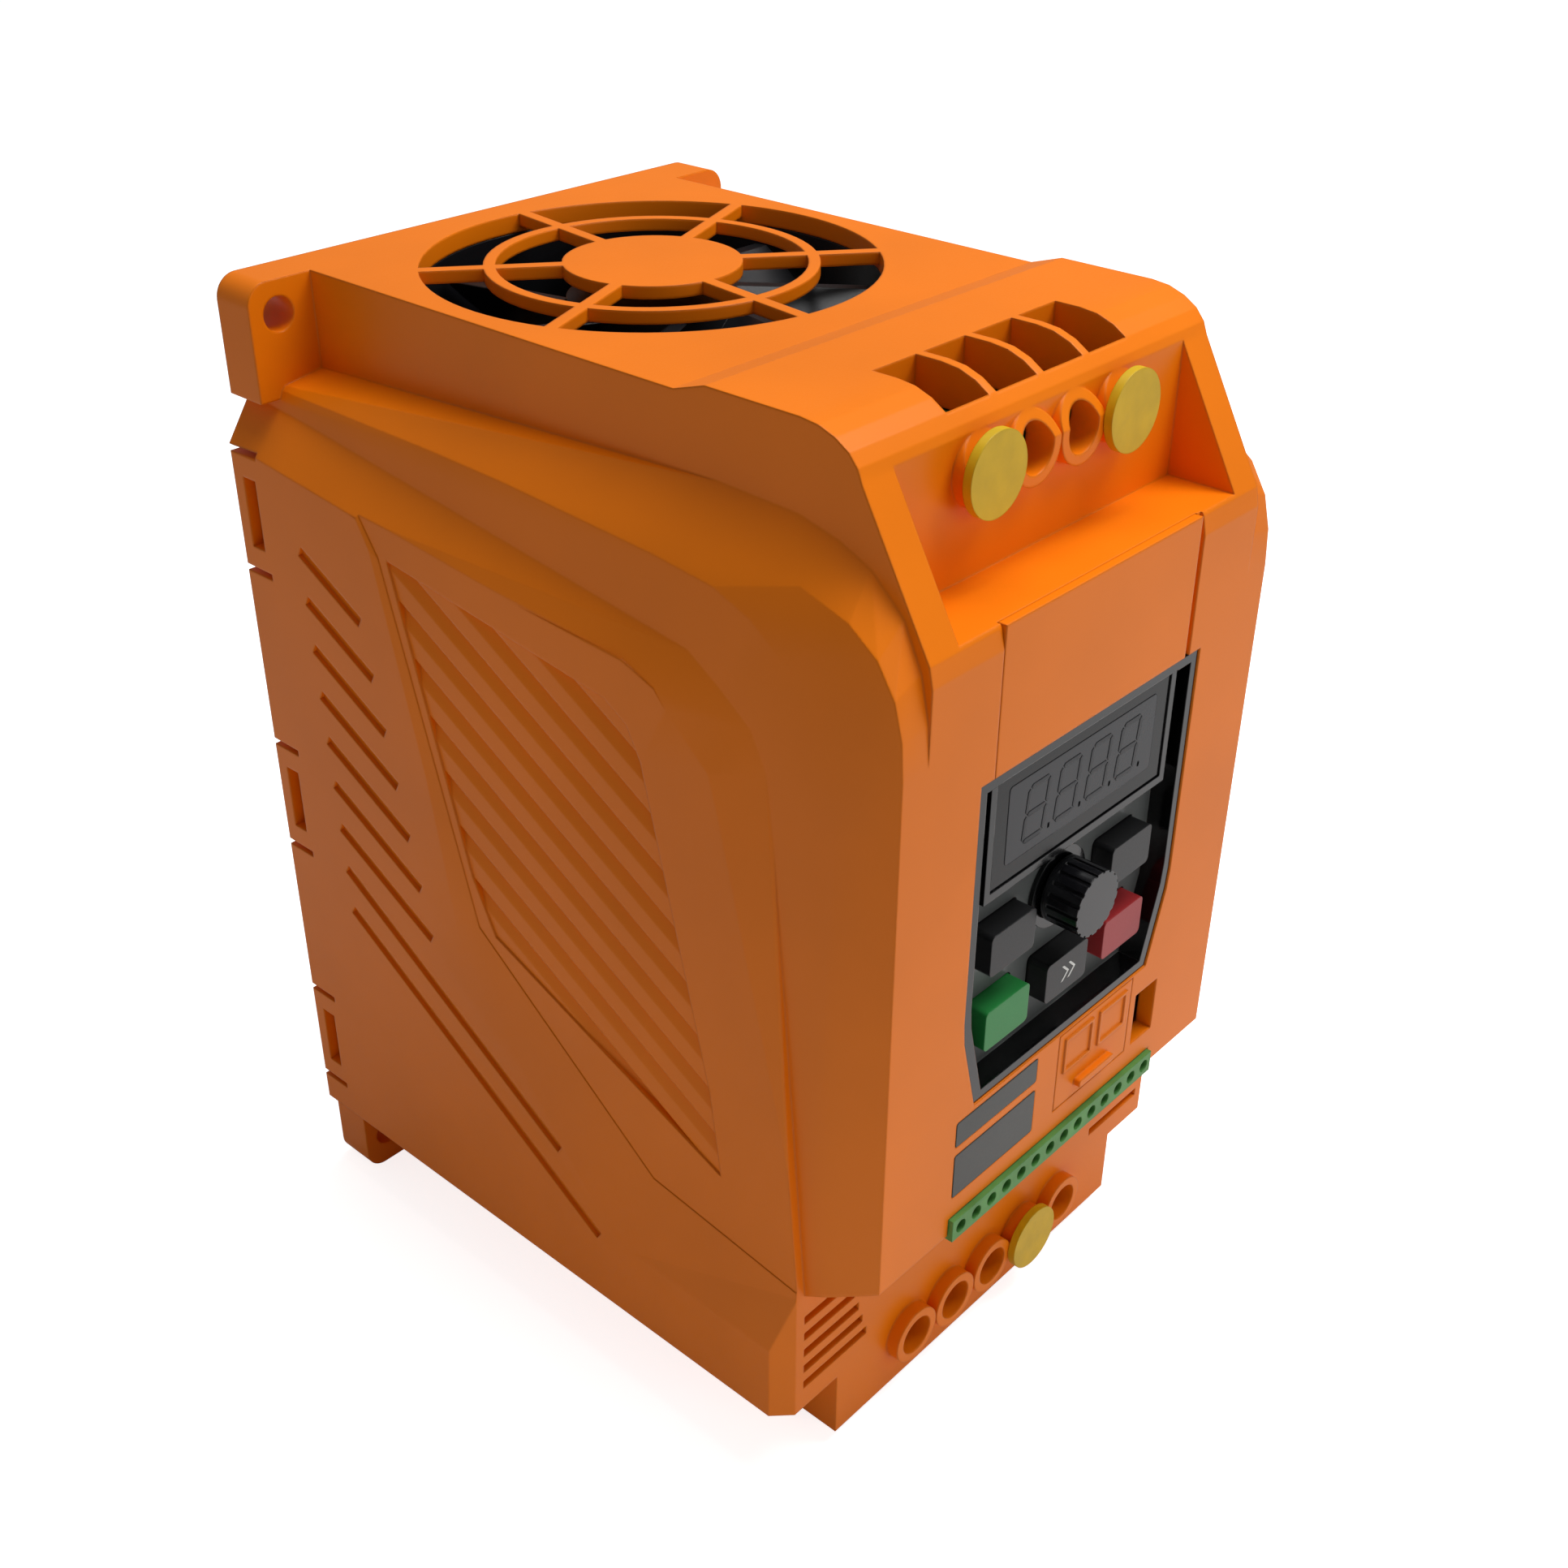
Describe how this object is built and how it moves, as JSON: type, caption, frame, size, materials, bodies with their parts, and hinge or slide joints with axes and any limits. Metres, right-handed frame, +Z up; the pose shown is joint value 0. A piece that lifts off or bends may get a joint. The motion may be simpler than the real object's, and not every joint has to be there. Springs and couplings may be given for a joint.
{
  "type": "variable frequency drive",
  "caption": "Wall-mounted variable frequency drive: stepped moulded case with top fan grille, keypad with display and knob, wire cells and screwdriver holes, side ears.",
  "frame": {"origin": "centre of the four-hole wall screw pattern, on the back plane of the case", "axes": "+X right when facing the front, +Y towards the wall, +Z up; the front faces -Y"},
  "size_m": [0.085, 0.1072, 0.1423],
  "materials": {
    "case_orange": "fine spark-eroded texture, satin",
    "cover_orange": "satin",
    "back_orange": "satin",
    "heatsink_aluminium": "extruded, satin",
    "fan_black": "satin black",
    "winding_copper": "lacquered windings",
    "steel_screws": "zinc plated",
    "panel_gloss_black": "piano black",
    "display_pane": "smoked pane",
    "display_grey": "matt, pale segments",
    "key_black": "semi gloss",
    "key_green": "semi gloss",
    "key_red": "semi gloss",
    "knob_black": "semi gloss",
    "component_blue": "moulded",
    "component_black": "moulded",
    "board_green": "solder mask",
    "post_brass": "turned",
    "capacitor_sleeve": "shrink sleeve",
    "transformer_yellow": "tape wound",
    "terminal_green_dark": "moulded",
    "terminal_green": "moulded",
    "plug_yellow": "satin",
    "label_grey": "matt printed plate, blank"
  },
  "bodies": {
    "case": {"housing": "case_orange", "back_plate": "back_orange", "heatsink": "heatsink_aluminium", "fan_frame": "fan_black", "fan_stator": "winding_copper", "fan_screws": "steel_screws", "centre_cover": "cover_orange", "keypad_bezel": "panel_gloss_black", "display_window": "display_pane", "display_module": "display_grey", "potentiometer": "component_blue", "key_switches": "component_black", "keypad_board": "board_green", "board_header": "component_black", "control_board": "board_green", "control_posts": "post_brass", "power_board": "board_green", "board_spacers": "steel_screws", "board_screws": "steel_screws", "power_module": "component_black", "rectifier_bridge": "component_black", "link_capacitors": "capacitor_sleeve", "relay": "component_blue", "transformer": "transformer_yellow", "input_terminals": "terminal_green_dark", "input_terminal_screws": "steel_screws", "output_terminals": "terminal_green_dark", "output_terminal_screws": "steel_screws", "control_terminals": "terminal_green", "data_jack": "component_black", "aux_connector": "terminal_green", "label_upper": "label_grey", "label_lower": "label_grey"},
    "fan": {"fan_rotor": "fan_black"},
    "speed_knob": {"knob": "knob_black"},
    "menu_key": {"key_menu": "key_black"},
    "jog_key": {"key_jog": "key_black"},
    "run_key": {"key_run": "key_green"},
    "shift_key": {"key_shift": "key_black"},
    "stop_key": {"key_stop": "key_red"},
    "port_lid": {"port_cover": "cover_orange"},
    "left_plug": {"cap_left": "plug_yellow"},
    "right_plug": {"cap_right": "plug_yellow"},
    "lower_plug": {"cap_lower": "plug_yellow"}
  },
  "joints": [
    {"name": "fan_spin", "type": "hinge", "parent": "case", "child": "fan", "pos_m": [0, -0.0339, 0.058], "axis": [0, 0, 1], "continuous": true},
    {"name": "knob_turn", "type": "hinge", "parent": "case", "child": "speed_knob", "pos_m": [0, -0.1, 0.0064], "axis": [0, -1, 0], "range_deg": [-150, 150]},
    {"name": "menu_press", "type": "slide", "parent": "case", "child": "menu_key", "axis": [0, 1, 0], "range_m": [0, 0.00055], "stiffness_N_per_m": 400, "springref_m": -0.001},
    {"name": "jog_press", "type": "slide", "parent": "case", "child": "jog_key", "axis": [0, 1, 0], "range_m": [0, 0.00055], "stiffness_N_per_m": 400, "springref_m": -0.001},
    {"name": "run_press", "type": "slide", "parent": "case", "child": "run_key", "axis": [0, 1, 0], "range_m": [0, 0.00055], "stiffness_N_per_m": 400, "springref_m": -0.001},
    {"name": "shift_press", "type": "slide", "parent": "case", "child": "shift_key", "axis": [0, 1, 0], "range_m": [0, 0.00055], "stiffness_N_per_m": 400, "springref_m": -0.001},
    {"name": "stop_press", "type": "slide", "parent": "case", "child": "stop_key", "axis": [0, 1, 0], "range_m": [0, 0.00055], "stiffness_N_per_m": 400, "springref_m": -0.001},
    {"name": "port_lid_pull", "type": "slide", "parent": "case", "child": "port_lid", "axis": [0, -1, 0], "range_m": [0, 0.012]},
    {"name": "left_plug_pull", "type": "slide", "parent": "case", "child": "left_plug", "axis": [0, -1, 0], "range_m": [0, 0.01]},
    {"name": "right_plug_pull", "type": "slide", "parent": "case", "child": "right_plug", "axis": [0, -1, 0], "range_m": [0, 0.01]},
    {"name": "lower_plug_pull", "type": "slide", "parent": "case", "child": "lower_plug", "axis": [0, -1, 0], "range_m": [0, 0.01]}
  ]
}
